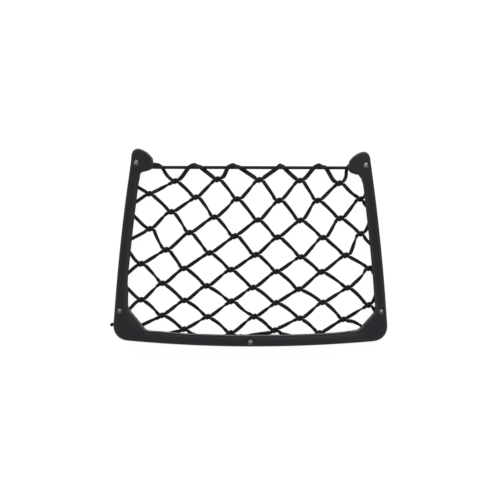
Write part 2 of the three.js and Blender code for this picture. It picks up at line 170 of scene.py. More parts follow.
def smooth(points, step):
    """A centripetal Catmull-Rom curve through the points, in even steps of about the given length."""
    ends = [2 * points[0] - points[1], *points, 2 * points[-1] - points[-2]]
    fine = []
    for p0, p1, p2, p3 in zip(ends, ends[1:], ends[2:], ends[3:]):
        t1 = math.sqrt((p1 - p0).length)
        t2 = t1 + math.sqrt((p2 - p1).length)
        t3 = t2 + math.sqrt((p3 - p2).length)
        for k in range(FINE_STEPS):
            t = lerp(t1, t2, k / FINE_STEPS)
            a1 = p0.lerp(p1, t / t1)
            a2 = p1.lerp(p2, (t - t1) / (t2 - t1))
            a3 = p2.lerp(p3, (t - t2) / (t3 - t2))
            b1 = a1.lerp(a2, t / t2)
            b2 = a2.lerp(a3, (t - t1) / (t3 - t1))
            fine.append(b1.lerp(b2, (t - t1) / (t2 - t1)))
    return even_steps([*fine, points[-1]], step)


def lengths_of(points):
    total = [0.0]
    for a, b in zip(points, points[1:]):
        total.append(total[-1] + (b - a).length)
    return total


def even_steps(points, step):
    total = lengths_of(points)
    count = max(1, round(total[-1] / step))
    result, k = [], 0
    for i in range(count + 1):
        goal = total[-1] * i / count
        while k < len(points) - 2 and total[k + 1] < goal:
            k += 1
        span = total[k + 1] - total[k]
        result.append(points[k].lerp(points[k + 1], (goal - total[k]) / span if span else 0))
    return result


def side_x(y):
    t = (y - SIDE_LOW.y) / (SIDE_TOP.y - SIDE_LOW.y)
    return lerp(SIDE_LOW.x, SIDE_TOP.x, t) + 4 * SIDE_BOW * t * (1 - t)


def bottom_y(x):
    return -HEIGHT / 2 + BOTTOM_BOW * (x / BOTTOM_HALF) ** 2


def inner_edge(ear_drop, gusset):
    """From an ear's inner end down to the middle of the bottom bar, drawn at the right."""
    return [
        *[Vector((x, y - ear_drop)) for x, y in EAR_INSIDE],
        *along(*INNER_SIDE_SPAN, 4, lambda y: Vector((side_x(y) - SIDE_BAR, y))),
        *[Vector(place) for place in gusset],
        *along(INNER_BOTTOM_FROM, 0, 4, lambda x: Vector((x, bottom_y(x) + BOTTOM_BAR))),
    ]


def outer_edge(ear_drop):
    """From the middle of the bottom bar up to the ear's inner end, drawn at the right."""
    centre = Vector((SIDE_LOW.x - CORNER_RADIUS, SIDE_LOW.y))

    def corner(degrees):
        angle = math.radians(degrees)
        return centre + CORNER_RADIUS * Vector((math.cos(angle), math.sin(angle)))

    return [
        *along(0, centre.x - CORNER_RUN_IN, 6, lambda x: Vector((x, bottom_y(x)))),
        *along(*CORNER_SPAN, 6, corner),
        *along(*OUTER_SIDE_SPAN, 4, lambda y: Vector((side_x(y), y))),
        *[Vector((x, y - ear_drop)) for x, y in EAR_OUTSIDE],
    ]


def mirrored(points):
    return [Vector((-p.x, p.y)) for p in reversed(points)]


def frame_outline():
    """The closed outline, anticlockwise, as points. Each point also has how far it is bevelled and grooved
    rather than rounded, how wide its bevel or round is, and whether the wall is cut away behind it."""
    left, right = HALVES["left"], HALVES["right"]
    outer = [*mirrored(outer_edge(left["ear_drop"])), *outer_edge(right["ear_drop"])[1:]]
    inner = [*inner_edge(**right), *mirrored(inner_edge(**left))[1:]]
    outer, inner = smooth(outer, OUTLINE_STEP), smooth(inner, OUTLINE_STEP)
    points = [*outer, *inner]
    bevelled = [clamped((BEVELLED_BELOW_Y - p.y) / BEVELLED_RUN) for p in inner]
    grooved = [0.0] * len(outer) + bevelled
    edges = [OUTER_ROUND] * len(outer) + [inner_bevel(p, amount) for p, amount in zip(inner, bevelled)]
    open_back = [slit_reaches(p) for p in outer] + [True] * len(inner)
    return points, grooved, edges, open_back


def inner_bevel(p, bevelled):
    beside = clamped((abs(p.x) - GUSSET_FROM_X) / GUSSET_RUN)
    low = lerp(INNER_BEVELS["bottom"], INNER_BEVELS["gusset"], beside)
    width = lerp(INNER_BEVELS["bar"], low, clamped((WIDER_BELOW_Y - p.y) / WIDER_RUN))
    return lerp(OUTER_ROUND, width, bevelled)


def slit_reaches(p):
    """True at an ear's inner end, where the wall is cut away behind the lip as along the inner edge."""
    return SLIT_LOW_Y < p.y < CORD_TOP_Y + SLIT_ABOVE_CORD and abs(p.x) < SLIT_REACH_X


def inward_normals(points):
    count = len(points)
    normals = []
    for k in range(count):
        run = (points[(k + 1) % count] - points[k - 1]).normalized()
        normals.append(Vector((-run.y, run.x)))
    return normals


class Outline:
    """The frame's outline, and the depth of its front face at a distance from it."""

    def __init__(self):
        self.points, self.grooved, self.edges, self.open_back = frame_outline()
        self.normals = inward_normals(self.points)
        self.tree = KDTree(len(self.points))
        for k, p in enumerate(self.points):
            self.tree.insert(p.to_3d(), k)
        self.tree.balance()

    def ring(self, inset):
        """Points at a distance in from the outline, without those that the outline's bends crowd out."""
        ring = []
        for k, (p, normal) in enumerate(zip(self.points, self.normals)):
            distance = inset(k)
            place = p + distance * normal
            if self.tree.find(place.to_3d())[2] > UNCROWDED * distance:
                ring.append((place, k))
        return ring

    def front_z(self, k, distance):
        edge = self.edges[k]
        if distance < edge:
            out = 1 - distance / edge
            return DEPTH - edge * lerp(1 - math.sqrt(1 - out**2), BEVEL_SLOPE * out, self.grooved[k])
        drop = 0
        for (d0, z0), (d1, z1) in zip([(0, 0), *GROOVE], GROOVE):
            if d0 <= distance - edge < d1:
                drop = lerp(z0, z1, (distance - edge - d0) / (d1 - d0))
        return DEPTH - drop * self.grooved[k]

    def distance(self, place):
        k = self.tree.find(place.to_3d())[1]
        near = []
        for a, b in ((k - 1, k), (k, (k + 1) % len(self.points))):
            _, t = intersect_point_line(place, self.points[a], self.points[b])
            near.append((place - self.points[a].lerp(self.points[b], clamped(t))).length)
        return k, min(near)


def screw_wells():
    """The middle of each screw's recess in the frame, and its radius."""
    wells = []
    for screw in SCREWS:
        low, high = node_box(screw["node"])
        wells.append((((low + high) / 2).to_2d(), screw["head"] + HEAD_CLEARANCE))
    return wells


def circle(centre, radius, sides=32):
    return [centre + radius * Vector((math.cos(a), math.sin(a))) for a in turns(sides)]


def dish_z(place, wells):
    depth = 0
    for centre, room in wells:
        t = clamped(((place - centre).length - room) / (DISH_RADIUS - room))
        depth = max(depth, DISH_DEPTH * (1 - math.sin(t * math.pi / 2)))
    return DEPTH - depth


def filled(loops, extra, holes):
    """Triangles between the loops, the first of which goes round the others, with the extra points in
    them. The holes are left open."""
    points, edges = [], []
    for loop in loops:
        start = len(points)
        points += loop
        edges += [(start + k, start + (k + 1) % len(loop)) for k in range(len(loop))]
    verts, _, faces, *_ = delaunay_2d_cdt([*points, *extra], edges, [], 1, 1e-5)
    kept = []
    for face in faces:
        middle = sum((verts[k] for k in face), Vector((0, 0))) / 3
        if all((middle - centre).length > radius * 0.995 for centre, radius in holes):
            kept.append(tuple(face))
    return verts, kept


def ring_faces(rings, sides):
    """Quads between closed rings of as many sides, low to high on a wall seen from outside."""
    faces = []
    for low in range(0, (rings - 1) * sides, sides):
        for k in range(sides):
            n = (k + 1) % sides
            faces.append((low + k, low + n, low + sides + n, low + sides + k))
    return faces


class Surface:
    """Points, faces and surface coordinates of a piece, gathered before its mesh is made."""

    def __init__(self):
        self.points, self.faces, self.coordinates = [], [], []

    def add(self, points, faces, coordinates=None):
        start = len(self.points)
        self.points += points
        self.faces += [tuple(start + k for k in face) for face in faces]
        self.coordinates += coordinates or [[(0, 0)] * len(face) for face in faces]

    def bridge(self, low, high):
        self.add([*low, *high], ring_faces(2, len(low)))


def mesh_object(name, surface, material, sharp=None, weld=None):
    mesh = bpy.data.meshes.new(name)
    mesh.from_pydata([p * MM for p in surface.points], [], surface.faces)
    layer = mesh.uv_layers.new(name="along")
    spots = [spot for face in surface.coordinates for spot in face]
    layer.data.foreach_set("uv", [value for spot in spots for value in spot])
    mesh.polygons.foreach_set("use_smooth", [True] * len(mesh.polygons))
    mesh.materials.append(material)
    piece = bpy.data.objects.new(name, mesh)
    bpy.context.scene.collection.objects.link(piece)
    if weld:
        weld_points(mesh, weld * MM)
    if sharp:
        mesh.set_sharp_from_angle(angle=math.radians(sharp))
    return piece


def weld_points(mesh, distance):
    work = bmesh.new()
    work.from_mesh(mesh)
    bmesh.ops.remove_doubles(work, verts=work.verts, dist=distance)
    bmesh.ops.recalc_face_normals(work, faces=work.faces)
    work.to_mesh(mesh)
    work.free()


def front_face(surface, outline, wells):
    """The front, from the foot of its rounded edge to the screws' recesses."""
    edge = [Vector(p) for p in outline.points]
    rings = []
    for degrees in ROUND_ANGLES:
        rings += outline.ring(lambda k: outline.edges[k] * (1 - math.cos(math.radians(degrees))))
    rings += outline.ring(lambda k: outline.edges[k] + PAST_EDGE)
    for distance, _ in GROOVE:
        band = outline.ring(lambda k: outline.edges[k] + distance)
        rings += [(p, k) for p, k in band if outline.grooved[k] > 0]
    clear = DISH_RADIUS + DISH_ROOM
    inside = [p for p, _ in rings if all((p - centre).length > clear for centre, _ in wells)]
    for centre, room in wells:
        for t in DISH_RINGS:
            inside += circle(centre, lerp(room, DISH_RADIUS, t))
    loops = [edge, *[circle(centre, room) for centre, room in wells]]
    verts, faces = filled(loops, inside, wells)
    points = []
    for p in verts:
        k, distance = outline.distance(p)
        z = min(outline.front_z(k, distance), dish_z(p, wells))
        points.append(Vector((p.x, p.y, z)))
    surface.add(points, faces)


def frame_walls(surface, outline):
    """The outer wall, its lower rim and its inside, up to the back of the front face."""
    foot = [LIP_BACK if is_open else 0.0 for is_open in outline.open_back]
    steps = [
        lambda k: (0.0, outline.front_z(k, 0)),
        lambda k: (0.0, foot[k] + RIM_CHAMFER),
        lambda k: (RIM_CHAMFER, foot[k]),
        lambda k: (WALL - RIM_CHAMFER, foot[k]),
        lambda k: (WALL, foot[k] + RIM_CHAMFER),
        lambda k: (WALL, DEPTH - FRONT_WALL),
    ]
    rings = []
    for step in steps:
        ring = []
        for k, (p, normal) in enumerate(zip(outline.points, outline.normals)):
            inset, z = step(k)
            ring.append((p + inset * normal).to_3d() + Vector((0, 0, z)))
        rings.append(ring)
    for upper, lower in zip(rings, rings[1:]):
        surface.bridge(lower, upper)
    return [p.to_2d() for p in rings[-1]]


def bosses(surface, hollow, wells):
    """The back of the front face, and the screw bosses that stand on it."""
    loops = [hollow, *[circle(centre, BOSS_RADIUS) for centre, _ in wells]]
    verts, faces = filled(loops, [], [(centre, BOSS_RADIUS) for centre, _ in wells])
    back = DEPTH - FRONT_WALL
    surface.add([p.to_3d() + Vector((0, 0, back)) for p in verts], [face[::-1] for face in faces])
    for centre, room in wells:
        profile = [
            (BOSS_RADIUS, back),
            (BOSS_RADIUS, RIM_CHAMFER),
            (BOSS_RADIUS - RIM_CHAMFER, 0),
            (SHANK_HOLE + HOLE_CHAMFER, 0),
            (SHANK_HOLE, HOLE_CHAMFER),
            (SHANK_HOLE, SEAT_Z),
            (room, SEAT_Z),
            (room, DEPTH - DISH_DEPTH),
        ]
        rings = [[p.to_3d() + Vector((0, 0, z)) for p in circle(centre, r)] for r, z in profile]
        for outer, inner in zip(rings, rings[1:]):
            surface.bridge(inner, outer)


def make_frame(material):
    outline = Outline()
    wells = screw_wells()
    surface = Surface()
    front_face(surface, outline, wells)
    hollow = frame_walls(surface, outline)
    bosses(surface, hollow, wells)
    piece = mesh_object("moulded_frame", surface, material, sharp=50, weld=0.02)
    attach(piece, "root")
    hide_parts("frame")


# ---- screws ----

HEAD_HEIGHT = 2.0
SHANK_RADIUS = 1.9
THREAD_PITCH = 1.3
THREAD_FROM = 1.6  # above the cut end
THREAD_ROOT = 0.76  # of the shank's radius
RECESS_DEPTH = 1.25
RECESS_ARM = 0.6  # of the head's radius
RECESS_TAPER = 0.62


def lathe(profile, sides):
    """A closed solid turned about Z from (radius, z) pairs that start and end on the axis."""
    surface = Surface()
    points = [Vector((r * math.cos(a), r * math.sin(a), z)) for r, z in profile[1:-1] for a in turns(sides)]
    last = len(points) - sides
    faces = ring_faces(len(profile) - 2, sides)
    points += [Vector((0, 0, profile[0][1])), Vector((0, 0, profile[-1][1]))]
    faces += [((k + 1) % sides, k, len(points) - 2) for k in range(sides)]
    faces += [(last + k, last + (k + 1) % sides, len(points) - 1) for k in range(sides)]
    surface.add(points, faces)
    return surface


def cross_cutter(top, depth, arm):
    """The cross recess: a plus shape that narrows as it goes down."""
    half = arm / 4
    corners = [(half, half), (half, arm), (-half, arm), (-half, half), (-arm, half), (-arm, -half)]
    corners += [(-x, -y) for x, y in corners]
    surface = Surface()
    upper = [Vector((x, y, top + 1)) for x, y in corners]
    lower = [Vector((x * RECESS_TAPER, y * RECESS_TAPER, top - depth)) for x, y in corners]
    count = len(corners)
    ends = [tuple(reversed(range(count))), tuple(range(count, 2 * count))]
    surface.add([*lower, *upper], [*ring_faces(2, count), *ends])
    return surface


def screw_profile(foot, seat, head):
    crown = seat + HEAD_HEIGHT
    profile = [(0, foot), (SHANK_RADIUS * 0.45, foot)]
    z = foot + THREAD_FROM
    while z < seat - THREAD_PITCH:
        profile += [(SHANK_RADIUS * THREAD_ROOT, z), (SHANK_RADIUS, z + THREAD_PITCH * 0.5)]
        z += THREAD_PITCH
    return [
        *profile,
        (SHANK_RADIUS * 0.8, seat - 0.4),
        (SHANK_RADIUS * 0.9, seat),
        (head - 0.15, seat),
        (head, seat + 0.15),
        (head, seat + HEAD_HEIGHT * 0.42),
        (head * 0.97, seat + HEAD_HEIGHT * 0.6),
        (head * 0.87, seat + HEAD_HEIGHT * 0.8),
        (head * 0.68, seat + HEAD_HEIGHT * 0.93),
        (head * 0.4, crown - 0.02),
        (0, crown),
    ]


def make_screw(node, head, turn, material):
    low, high = node_box(node)
    seat = high.z - HEAD_HEIGHT
    piece = mesh_object(f"fitted_{node}", lathe(screw_profile(low.z, seat, head), 40), material)
    cutter = mesh_object("cutter", cross_cutter(high.z, RECESS_DEPTH, head * RECESS_ARM), material)
    cut = piece.modifiers.new("recess", "BOOLEAN")
    cut.object = cutter
    cut.solver = "EXACT"
    evaluated = piece.evaluated_get(bpy.context.evaluated_depsgraph_get())
    mesh = bpy.data.meshes.new_from_object(evaluated)
    piece.modifiers.clear()
    piece.data = mesh
    bpy.data.objects.remove(cutter)
    centre = (low + high).to_2d() / 2 * MM
    turned = Matrix.Rotation(math.radians(turn), 4, "Z")
    mesh.transform(Matrix.Translation((centre.x, centre.y, 0)) @ turned)
    mesh.set_sharp_from_angle(angle=math.radians(35))
    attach(piece, "root")
    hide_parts(node)


# ---- the edge cord ----

CORD_INSET = 7.6
CORD_TAIL = [(-197, -109.8), (-195, -108.9), (-192, -108.3), (-188.4, -108.4), (-184, -109.6)]
CORD_KNOT = (-179, -111)
CORD_EAR = [(161.8, 101), (160.4, 106.2), (156.6, 110.2), (150.8, 112.4), (144, 113)]
CORD_CORNER = [(178.2, -98.5), (176.6, -88)]
CORD_TURN = [(178.8, -109), (174.8, -118.6), (166, -124.2), (155, -125.4)]
CORD_BOTTOM_Y = -124.6
CORD_SIDE_SPAN = (-68, 90)
CORD_TOP_ENDS = 134
CORD_BOTTOM_ENDS = 142
CORD_SIDES = 14
CORD_STEP = 1.6
# How far along the cord from its end, and the radius there
MELTED_BEAD = [(-0.5, 0.7), (-0.35, 1.4), (0.1, 2.0), (0.8, 2.4), (1.7, 2.5), (2.6, 2.35), (3.4, 1.9)]


def cord_x(y):
    return side_x(y) - CORD_INSET


def leftward(places):
    return [(-x, y) for x, y in places]


def cord_route():
    """From the melted end outside the left wall, up the left, over the top, down the right and back along
    the bottom."""
    side = along(*CORD_SIDE_SPAN, 5, lambda y: (cord_x(y), y))
    up = [*CORD_CORNER, *side, *CORD_EAR]
    places = [
        *CORD_TAIL,
        CORD_KNOT,
        *leftward(up),
        *along(-CORD_TOP_ENDS, CORD_TOP_ENDS, 3, lambda x: (x, CORD_TOP_Y)),
        *reversed(up),
        *CORD_TURN,
        *along(CORD_BOTTOM_ENDS, -CORD_BOTTOM_ENDS, 6, lambda x: (x, CORD_BOTTOM_Y)),
        *leftward(reversed(CORD_TURN[1:])),
        CORD_KNOT,
    ]
    return [Vector((x, y, CORD_Z)) for x, y in places]


def tangents_of(points):
    last = len(points) - 1
    return [(points[min(k + 1, last)] - points[max(k - 1, 0)]).normalized() for k in range(last + 1)]


def sweep(surface, points, faces_to, halves, sides=12, squareness=0.62):
    """A closed strand along the points. Each of faces_to is where its flat side faces, and each of halves
    its half width and half thickness. A squareness of 1 makes it round. Its surface coordinates are about
    millimetres round it and along it."""
    total = lengths_of(points)
    rings = []
    for p, tangent, face, (wide, thick) in zip(points, tangents_of(points), faces_to, halves):
        across = tangent.cross(face).normalized()
        outward = across.cross(tangent)
        for a in turns(sides):
            c = math.copysign(abs(math.cos(a)) ** squareness, math.cos(a))
            s = math.copysign(abs(math.sin(a)) ** squareness, math.sin(a))
            rings.append(p + across * (wide * c) + outward * (thick * s))
    coordinates = []
    girth = 4 * max(w for w, _ in halves) + 1.5
    for v0, v1 in zip(total, total[1:]):
        for k in range(sides):
            u0, u1 = girth * k / sides, girth * (k + 1) / sides
            coordinates.append([(u0, v0), (u1, v0), (u1, v1), (u0, v1)])
    last = (len(points) - 1) * sides
    ends = [tuple(reversed(range(sides))), tuple(range(last, last + sides))]
    coordinates += [[(0, 0)] * sides] * 2
    surface.add(rings, [*ring_faces(len(points), sides), *ends], coordinates)


def round_sweep(surface, line, radii, sides=CORD_SIDES):
    sweep(surface, line, [FRONT] * len(line), [(radius, radius) for radius in radii], sides, 1.0)


def make_cord(material):
    line = smooth(cord_route(), CORD_STEP)
    surface = Surface()
    round_sweep(surface, line, [CORD_RADIUS] * len(line))
    melted_end(surface, line)
    hidden_knot(surface)
    piece = mesh_object("round_elastic", surface, material, sharp=70)
    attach(piece, "root")
    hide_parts("edge_cord")


def melted_end(surface, line):
    """The bead that the cord's cut end was melted into."""
    way = (line[1] - line[0]).normalized()
    points = [line[0] + way * distance for distance, _ in MELTED_BEAD]
    round_sweep(surface, points, [radius for _, radius in MELTED_BEAD])


def hidden_knot(surface):
    """The overhand knot that joins the cord's ends, behind the gusset."""
    centre = Vector((*CORD_KNOT, CORD_Z))

    def wound(t):
        a = 2 * math.pi * t
        reach = 1.5 + 0.7 * math.cos(3 * a)
        return centre + Vector((reach * math.cos(2 * a), reach * math.sin(2 * a), math.sin(3 * a)))

    line = along(0, 1, 60, wound)
    round_sweep(surface, line, [CORD_RADIUS * 0.8] * len(line), 10)


# ---- the net ----

# Rows of knots from the top down, as in the part's source: x and y at the left and right ends, how far the
# middle is moved right and down, and a wave along x
KNOT_ROWS = [
    {"count": 5, "x": (-108, 124.5), "y": (95.4, 91.2), "drift": 3.2, "wave": 0, "sag": -0.7},
    {"count": 6, "x": (-143.4, 152.7), "y": (75.7, 68.6), "drift": 5.5, "wave": 3, "sag": 5.1},
    {"count": 5, "x": (-112.4, 125.9), "y": (50.3, 41.8), "drift": 3, "wave": -1, "sag": 7},
    {"count": 6, "x": (-142.7, 155.5), "y": (26.3, 20), "drift": 2.2, "wave": -5.3, "sag": 8.5},
    {"count": 5, "x": (-119.4, 133.7), "y": (-3.3, -10.4), "drift": -0.5, "wave": -1.6, "sag": 3.2},
    {"count": 6, "x": (-154.7, 166.8), "y": (-23, -28.7), "drift": -2, "wave": 0, "sag": 6},
    {"count": 5, "x": (-124.4, 136.5), "y": (-50.5, -56.2), "drift": -2.8, "wave": -1, "sag": 2.8},
    {"count": 6, "x": (-154.7, 166.8), "y": (-73.8, -80.2), "drift": -2.5, "wave": -1.4, "sag": -0.8},
    {"count": 5, "x": (-125.1, 130.8), "y": (-95.7, -99.2), "drift": 1.8, "wave": -1, "sag": 1.3},
    {"count": 6, "x": (-164.6, 166.8), "y": (-114.7, -115.4), "drift": 1.7, "wave": 3.4, "sag": 2},
]
# By row and place in it, how far right and up a knot is pulled out of its row
PULLED_KNOTS = {
    (0, 0): (0.8, -1.8),
    (0, 1): (0, 1.4),
    (0, 2): (0, 1.6),
    (0, 3): (0, 2),
    (1, 2): (-1.6, 0.5),
    (1, 3): (1.8, 0),
    (1, 5): (1.8, 0.4),
    (3, 1): (0, 1.4),
    (3, 2): (1.6, 0.6),
    (3, 3): (-3.8, 0.5),
    (3, 4): (-0.6, -1.4),
    (4, 3): (-1.2, -1.8),
    (5, 1): (-2.4, -1.4),
    (5, 3): (0, -1.4),
    (5, 4): (-1.2, -2.4),
    (6, 3): (-2.2, -1.4),
    (7, 2): (1.8, 0),
    (7, 3): (-1, -0.7),
    (7, 4): (-0.6, 1.6),
    (8, 2): (0.6, 1.6),
    (8, 4): (0, -1.4),
    (9, 1): (0, 1),
    (9, 2): (0, -3.6),
    (9, 3): (0, 0.8),
    (9, 4): (-1.8, -3.4),
}
# Where the net's turns round the cord are, and how far along it and out from it those at the top go
TOP_LOOPS = [
    {"x": -78.5, "reach": 8.2, "bulge": 1.2},
    {"x": -23.5, "reach": 8.4, "bulge": 0.8},
    {"x": 42.7, "reach": 4.6, "bulge": 1.3},
    {"x": 97.7, "reach": 8.4, "bulge": 0.8},
]
BOTTOM_LOOPS = [-129, -72, -8, 61, 124]
SIDE_LOOPS = [(54, 48), (4, -5), (-47, -51)]  # heights at the left and at the right
CORNER_LOOP = (178.2, -98.5)
SIDE_REACH, CORNER_REACH = 4, 3  # along the cord, of the turns other than those at the top
TOP_TILT = 65
TOP_WIDTH = 1.12
LOOP_WIDTH = 0.93
LOOP_STEP = 1.5
LOOP_DEGREES = [90, 60, 30, 0, -30, -60, -90]  # from in front of the cord to behind it
EAR_STRANDS = [
    {"side": -1, "leg": (118, 101.5), "crosses": 124.5, "lower_loop": 93},
    {"side": 1, "leg": (134.3, 101), "crosses": 136, "lower_loop": 88},
]
EAR_MIDDLE = 147.5
BEHIND_CORD = -1.8
# Where an ear's strand goes: its share of the way from where it crosses the top cord to the ear's middle,
# and how far above the cord's axis and in front of it
EAR_WAY = [
    (-0.08, -4.2, -3.0),
    (0.02, -0.6, -3.4),
    (0.17, 2.6, -2.8),
    (0.37, 4.1, -0.8),
    (0.6, 4.0, 1.4),
    (0.8, 3.2, 2.6),
    (1, 1.6, 3.3),
    (1.25, -1, 3.3),
    (1.5, -4.6, 3.3),
    (1.6, -10.5, 3.3),
]
# Half the width of a strand and half its thickness, and half its width where it goes into a knot
STRAND_WIDE = 2.65
STRAND_THICK = 1.1
STRAND_IN_KNOT = 1.8
WRAP_GAP = 0.25
WRAP = CORD_RADIUS + STRAND_THICK + WRAP_GAP
LEG = Vector((5.4, 2.5, 0))
LEG_ROOT = (3.7, 1.9, 0.1)
HEADING = Vector((0.8, 0.6, 0))
STEEP_HEADING = Vector((0.55, 0.83, 0))  # beside a bar of the frame
LAST_ROW_BELOW = -112
LAST_HEADING = Vector((0.7, 0.7, 0))
# A knot of the last row that is higher than this has its lower left leg along the bar
LYING_LEGS_ABOVE = -117
LYING_HEADING = Vector((-1, -0.1, 0))
HEADING_LENGTH = 3
KNOT_SHIFT = 0.8  # to the right, since a knot's bulk lies to the left of where its strands cross
KNOT_SIZE = 1.08
KNOT_THICK = 0.98  # half the thickness of the strands in it
KNOT_STEP = 0.9
# How far chance may change a knot's size, and its turn in degrees
SIZE_CHANGE, SPIN_CHANGE = 0.06, 7
# Within CROWDED_REACH of a bar, a knot's part beyond CROWDED_FROM is drawn in and stretched up and down
CROWDED_REACH, CROWDED_FROM, CROWDED_X, CROWDED_Y = 12, 3, 0.5, 1.4
# Degrees by which a strand leaves the knot above flatter, and comes to the one below steeper, than it
# would go straight. Those that run down to the right (side 1) leave each row at an angle of its own. Some
# are bent: by row, place in it and side.
LEFT_BOWS = (3, -3)
RIGHT_RISES = [1, 2, 5, -1, 2, 3, 10, 10, 12]
RIGHT_FALL = 6
BENT_STRANDS = {
    (0, 4, 1): (-9, -18),
    (1, 2, -1): (-14, -4),
    (3, 0, 1): (-8, -6),
    (5, 3, 1): (9, 12),
    (5, 5, -1): (-18, -6),
    (7, 2, 1): (-6, -18),
    (8, 4, 1): (32, 10),
}
STRAND_TWISTS = {-1: (68, 4), 1: (2, 46)}  # degrees by which a strand is turned on edge at its two ends
STRAND_STEPS = 12
STRAND_STEP = 1.6
# How far chance may change a strand's bows and twists, in degrees, and its height
BOW_CHANGE, TWIST_CHANGE, HUMP = 3, 14, 0.5
NET_LOWEST = 0.4  # strands that turn round the cords are pressed flat against the panel behind


def knot_places():
    rows = []
    for row in KNOT_ROWS:
        places = []
        for k in range(row["count"]):
            t = k / (row["count"] - 1)
            middle = 4 * t * (1 - t)
            x = lerp(*row["x"], t) + row["drift"] * middle
            y = lerp(*row["y"], t) - row["sag"] * middle
            places.append(Vector((x + row["wave"] * math.sin(2 * math.pi * t), y, CORD_Z)))
        rows.append(places)
    for (row, k), pull in PULLED_KNOTS.items():
        rows[row][k] += Vector((*pull, 0))
    return rows


class Knot:
    """A netting knot turned on its side: a bight that opens to the right, and a hitch that comes in from
    the left, up through the bight, round its neck and out under itself. A leg is named by where it points:
    side is 1 for right and -1 for left, up is 1 for up and -1 for down."""

    # Each point: x, y and z, the way that the strand's flat side faces, and its half width
    BIGHT = [
        (5.4, 2.5, 0.0, (0, 0, 1), 2.0),
        (3.7, 1.6, 0.3, (0, 0, 1), 2.0),
        (1.4, 1.5, 0.5, (0, 0, 1), 1.8),
        (-1.6, 1.8, 0.5, (0, 0.2, 1), 1.7),
        (-3.7, 1.4, 0.3, (-0.3, 0.2, 1), 1.6),
        (-4.6, 0.0, 0.2, (-0.5, 0, 1), 1.5),
        (-3.7, -1.4, 0.3, (-0.3, -0.2, 1), 1.6),
        (-1.6, -1.8, 0.5, (0, -0.2, 1), 1.7),
        (1.4, -1.5, 0.5, (0, 0, 1), 1.8),
        (3.7, -1.6, 0.3, (0, 0, 1), 2.0),
        (5.4, -2.5, 0.0, (0, 0, 1), 2.0),
    ]
    HITCH = [
        (-5.4, -2.5, 0.0, (0, 0, 1), 2.0),
        (-4.1, -2.0, -0.7, (0, 0, 1), 1.9),
        (-2.6, -0.9, -0.6, (0.4, 0, 1), 1.6),
        (-1.5, 0.1, 1.0, (-0.6, -0.4, 1), 1.5),
        (-0.4, 1.5, 2.2, (0, 0, 1), 1.6),
        (0.3, 2.8, 1.2, (0, 1, 0.6), 1.9),
        (0.5, 3.0, -0.6, (0, 1, -0.4), 1.9),
        (0.3, 1.6, -1.6, (0, 0, -1), 1.5),
        (-0.6, -1.6, -1.6, (0, 0, -1), 1.5),
        (-1.1, -3.1, -0.5, (0, -1, -0.3), 1.9),
        (-1.3, -2.9, 1.2, (0, -1, 0.7), 1.9),
        (-1.9, -1.5, 2.1, (0, -0.2, 1), 1.6),
        (-2.8, 0.4, 1.7, (0, 0, 1), 1.5),
        (-4.0, 1.8, 0.9, (-0.2, 0, 1), 1.8),
        (-5.4, 2.5, 0.0, (0, 0, 1), 2.0),
    ]

    def __init__(self, place):
        self.place = place + Vector((KNOT_SHIFT, 0, 0))
        crowded = abs(place.x) + CROWDED_REACH > side_x(place.y) - SIDE_BAR
        self.crowded = math.copysign(1, place.x) if crowded else 0
        self.size = KNOT_SIZE + chance.uniform(-SIZE_CHANGE, SIZE_CHANGE)
        self.spin = Matrix.Rotation(math.radians(chance.uniform(-SPIN_CHANGE, SPIN_CHANGE)), 3, "Z")

    def at(self, x, y, z):
        """A place in the knot. Beside a bar of the frame the legs leave more steeply."""
        if x * self.crowded > CROWDED_FROM:
            x = self.crowded * (CROWDED_FROM + (abs(x) - CROWDED_FROM) * CROWDED_X)
            y *= CROWDED_Y
        return self.place + self.spin @ Vector((x, y, z)) * self.size

    def leg(self, side, up):
        return self.at(side * LEG.x, up * LEG.y, 0)

    def leg_root(self, side, up):
        return self.at(side * LEG_ROOT[0], up * LEG_ROOT[1], LEG_ROOT[2])

    def past_leg(self, side, up):
        """The first point of a strand beyond the leg."""
        return self.leg(side, up) + self.heading(side, up) * HEADING_LENGTH

    def heading(self, side, up):
        if up < 0 and self.place.y < LAST_ROW_BELOW:
            if side < 0 and self.place.y > LYING_LEGS_ABOVE:
                return LYING_HEADING
            return Vector((side * LAST_HEADING.x, -LAST_HEADING.y, 0))
        way = STEEP_HEADING if side == self.crowded else HEADING
        return self.spin @ Vector((side * way.x, up * way.y, 0))

    def cover(self, surface):
        for cord in (self.BIGHT, self.HITCH):
            points = [self.at(x, y, z) for x, y, z, _, _ in cord]
            line = smooth(points, KNOT_STEP)
            faces = spread([self.spin @ Vector(face) for *_, face, _ in cord], line, points)
            wides = spread([wide for *_, wide in cord], line, points)
            sweep(surface, line, faces, [(wide, KNOT_THICK) for wide in wides])


def spread(values, line, points):
    """Values given at the points, for each point of a finer line through them."""
    marks = lengths_of(points)
    total = lengths_of(line)
    scale = marks[-1] / total[-1]
    result, k = [], 0
    for distance in total:
        while k < len(marks) - 2 and marks[k + 1] < distance * scale:
            k += 1
        t = (distance * scale - marks[k]) / (marks[k + 1] - marks[k])
        result.append(lerp(values[k], values[k + 1], clamped(t)))
    return result


def bezier(a, pull_a, pull_b, b, steps):
    def point(t):
        s = 1 - t
        return a * s**3 + (a + pull_a) * (3 * s * s * t) + (b - pull_b) * (3 * s * t * t) + b * t**3

    return along(0, 1, steps, point)


def strand_bows(row, knot, side):
    usual = LEFT_BOWS if side < 0 else (RIGHT_RISES[row], RIGHT_FALL)
    return BENT_STRANDS.get((row, knot, side), usual)


def near_to(degrees, change, side):
    return [math.radians(side * (a + chance.uniform(-change, change))) for a in degrees]


